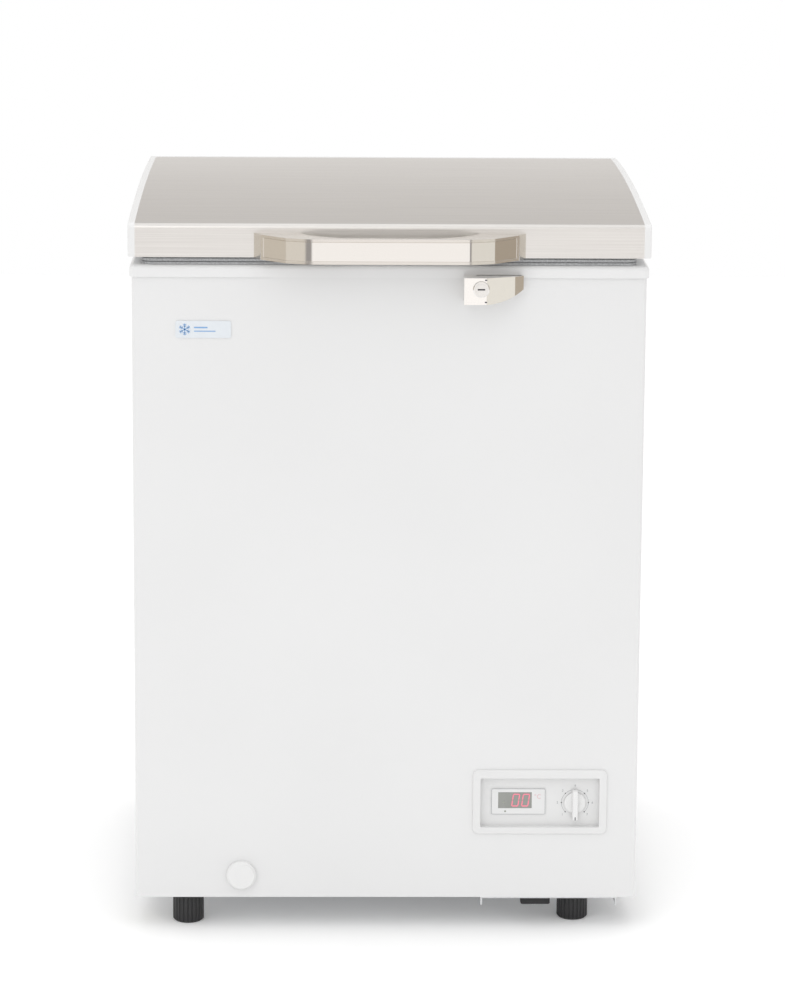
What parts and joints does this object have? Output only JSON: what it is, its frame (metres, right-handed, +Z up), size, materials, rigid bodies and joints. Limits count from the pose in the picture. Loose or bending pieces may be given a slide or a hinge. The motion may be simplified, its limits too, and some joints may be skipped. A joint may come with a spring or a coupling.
{
  "type": "chest freezer",
  "caption": "Small chest freezer: white insulated cabinet on feet, crowned steel-topped lid on rear hinges, wide handle, key lock, control panel and a drain.",
  "frame": {"origin": "on the floor under the middle of the whole object, at rest with the lid closed", "axes": "+Z up, -Y towards the front, +X to the right as seen from the front"},
  "size_m": [0.592, 0.58, 0.85],
  "materials": {
    "white_paint": "satin",
    "white_plastic": "satin",
    "lid_steel": "satin",
    "bright_metal": "polished",
    "satin_metal": "satin",
    "zinc": "satin",
    "foam": "matte",
    "liner_sheet": "satin",
    "coil": "satin",
    "copper": "satin",
    "black_steel": "satin",
    "black_rubber": "matte",
    "black_plastic": "matte",
    "grey_rubber": "matte",
    "dark_window": "gloss",
    "badge": "gloss",
    "basket_coat": "gloss",
    "drain_plastic": "matte"
  },
  "bodies": {
    "cabinet": {"outer_wrap": "white_paint", "back_panel": "white_paint", "bottom_panel": "zinc", "foam_insulation": "foam", "inner_liner": "liner_sheet", "top_collar": "white_plastic", "evaporator_coil": "coil", "condenser_coil": "copper", "compressor": "black_steel", "compressor_mounts": "black_rubber", "start_relay": "black_plastic", "filter_drier": "copper", "suction_pipe": "copper", "base_plate": "zinc", "rubber_block": "black_rubber", "rear_grille": "white_paint", "cable_gland": "black_plastic", "control_bezel": "white_plastic", "control_plate": "white_plastic", "thermometer_case": "white_plastic", "thermometer_window": "dark_window", "thermostat_body": "black_plastic", "drain_tube": "drain_plastic", "badge_plate": "badge", "lock_escutcheon": "bright_metal", "lock_barrel": "bright_metal", "hinge_base_left": "zinc", "hinge_base_right": "zinc", "hinge_springs": "zinc", "hinge_base_screws": "zinc", "foot_inserts": "zinc", "rear_feet": "black_plastic"},
    "lid": {"lid_skin": "lid_steel", "lid_cap_left": "white_plastic", "lid_cap_right": "white_plastic", "lid_rear_trim": "white_plastic", "lid_foam": "foam", "lid_inner_panel": "white_plastic", "lid_gasket": "grey_rubber", "handle_body": "satin_metal", "handle_band": "bright_metal", "handle_screws": "zinc", "hinge_leaf_left": "zinc", "hinge_leaf_right": "zinc", "hinge_leaf_screws": "zinc", "lock_striker": "zinc"},
    "thermostat_knob": {"thermostat_knob": "white_plastic", "thermostat_shaft": "zinc"},
    "lock_cylinder": {"lock_plug": "bright_metal", "lock_hook": "zinc"},
    "drain_cap": {"drain_cap": "white_plastic"},
    "drain_plug": {"drain_plug": "white_plastic"},
    "basket": {"basket": "basket_coat", "basket_rim": "basket_coat"},
    "foot_stud_left": {"foot_stud_left": "zinc"},
    "foot_pad_left": {"foot_pad_left": "black_plastic"},
    "foot_stud_right": {"foot_stud_right": "zinc"},
    "foot_pad_right": {"foot_pad_right": "black_plastic"}
  },
  "joints": [
    {"name": "lid_hinge", "type": "hinge", "parent": "cabinet", "child": "lid", "pos_m": [0, 0.277, 0.795], "axis": [-1, 0, 0], "range_deg": [0, 80]},
    {"name": "thermostat_turn", "type": "hinge", "parent": "cabinet", "child": "thermostat_knob", "pos_m": [0.2205, -0.235, 0.1505], "axis": [0, 1, 0], "range_deg": [0, 315]},
    {"name": "lock_turn", "type": "hinge", "parent": "cabinet", "child": "lock_cylinder", "pos_m": [0.103, -0.25, 0.7643], "axis": [0, -1, 0], "range_deg": [0, 85]},
    {"name": "drain_cap_pull", "type": "slide", "parent": "cabinet", "child": "drain_cap", "axis": [0, -1, 0], "range_m": [0, 0.045]},
    {"name": "drain_plug_lift", "type": "slide", "parent": "cabinet", "child": "drain_plug", "axis": [0, 0, 1], "range_m": [0, 0.06]},
    {"name": "basket_slide", "type": "slide", "parent": "cabinet", "child": "basket", "axis": [-1, 0, 0], "range_m": [-0.005, 0.255]},
    {"name": "foot_rise_left", "type": "slide", "parent": "cabinet", "child": "foot_stud_left", "axis": [0, 0, -1], "range_m": [0, 0.0075]},
    {"name": "foot_turn_left", "type": "hinge", "parent": "foot_stud_left", "child": "foot_pad_left", "pos_m": [-0.2325, -0.2025, 0.01], "axis": [0, 0, 1], "range_deg": [0, 2160]},
    {"name": "foot_rise_right", "type": "slide", "parent": "cabinet", "child": "foot_stud_right", "axis": [0, 0, -1], "range_m": [0, 0.0075]},
    {"name": "foot_turn_right", "type": "hinge", "parent": "foot_stud_right", "child": "foot_pad_right", "pos_m": [0.2215, -0.192, 0.01], "axis": [0, 0, 1], "range_deg": [0, 2160]}
  ],
  "couplings": [
    {"joint": "foot_rise_left", "follows": "foot_turn_left", "m_per_rad": 0.00019894},
    {"joint": "foot_rise_right", "follows": "foot_turn_right", "m_per_rad": 0.00019894}
  ]
}
